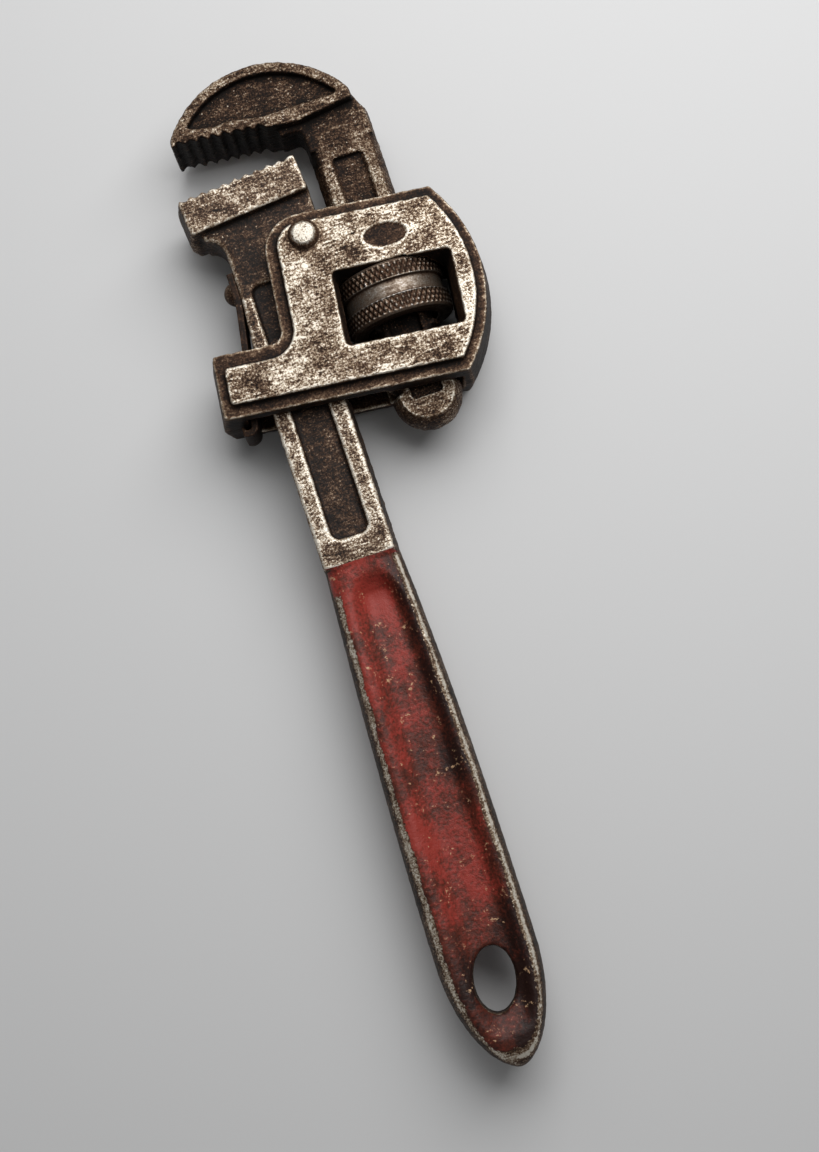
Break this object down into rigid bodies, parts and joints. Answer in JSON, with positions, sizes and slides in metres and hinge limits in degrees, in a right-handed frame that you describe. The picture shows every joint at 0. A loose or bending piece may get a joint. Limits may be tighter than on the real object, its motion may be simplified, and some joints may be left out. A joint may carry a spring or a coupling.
{
  "type": "pipe wrench",
  "caption": "Straight pipe wrench with a pinned floating frame, a threaded hook jaw, a knurled adjusting nut and a painted handle.",
  "frame": {"origin": "the centre of the part's box on its lowest plane, with the wrench lying on its back", "axes": "+Y from the handle's end to the jaws, +Z out of the front face, +X from the mouth side to the frame's rounded side"},
  "size_m": [0.0534, 0.1824, 0.0207],
  "materials": {
    "painted_handle": "worn red enamel on forged steel, with a bare machined bar and jaw",
    "frame_steel": "worn bright faces over brown patina, cast sides",
    "pin_steel": "rubbed bright dome",
    "jaw_steel": "brown patina with bright worn edges",
    "nut_steel": "dark turned steel with bright knurl crests",
    "spring_steel": "blued spring steel, darkened",
    "rivet_steel": "dark hammered head"
  },
  "bodies": {
    "handle": {"handle_bar": "painted_handle", "outer_leaf_spring": "spring_steel", "outer_spring_rivet": "rivet_steel", "inner_leaf_spring": "spring_steel", "inner_spring_rivet": "rivet_steel"},
    "frame": {"frame": "frame_steel", "frame_pin": "pin_steel"},
    "hook_jaw": {"hook_jaw": "jaw_steel"},
    "nut": {"adjusting_nut": "nut_steel"}
  },
  "joints": [
    {"name": "frame_pivot", "type": "hinge", "parent": "handle", "child": "frame", "pos_m": [-0.00242, 0.05673, 0.0097], "axis": [0, 0, 1], "range_deg": [0, 4], "stiffness_Nm_per_rad": 1.5, "springref_deg": -5.73, "deforming": ["outer_leaf_spring"]},
    {"name": "jaw_slide", "type": "slide", "parent": "frame", "child": "hook_jaw", "axis": [0, 1, 0], "range_m": [-0.0045, 0.014]},
    {"name": "nut_spin", "type": "hinge", "parent": "frame", "child": "nut", "pos_m": [0.00963, 0.04283, 0.0097], "axis": [0, 1, 0], "range_deg": [-2025, 655]}
  ],
  "couplings": [
    {"joint": "nut_spin", "follows": "jaw_slide", "rad_per_m": -2513.3}
  ]
}
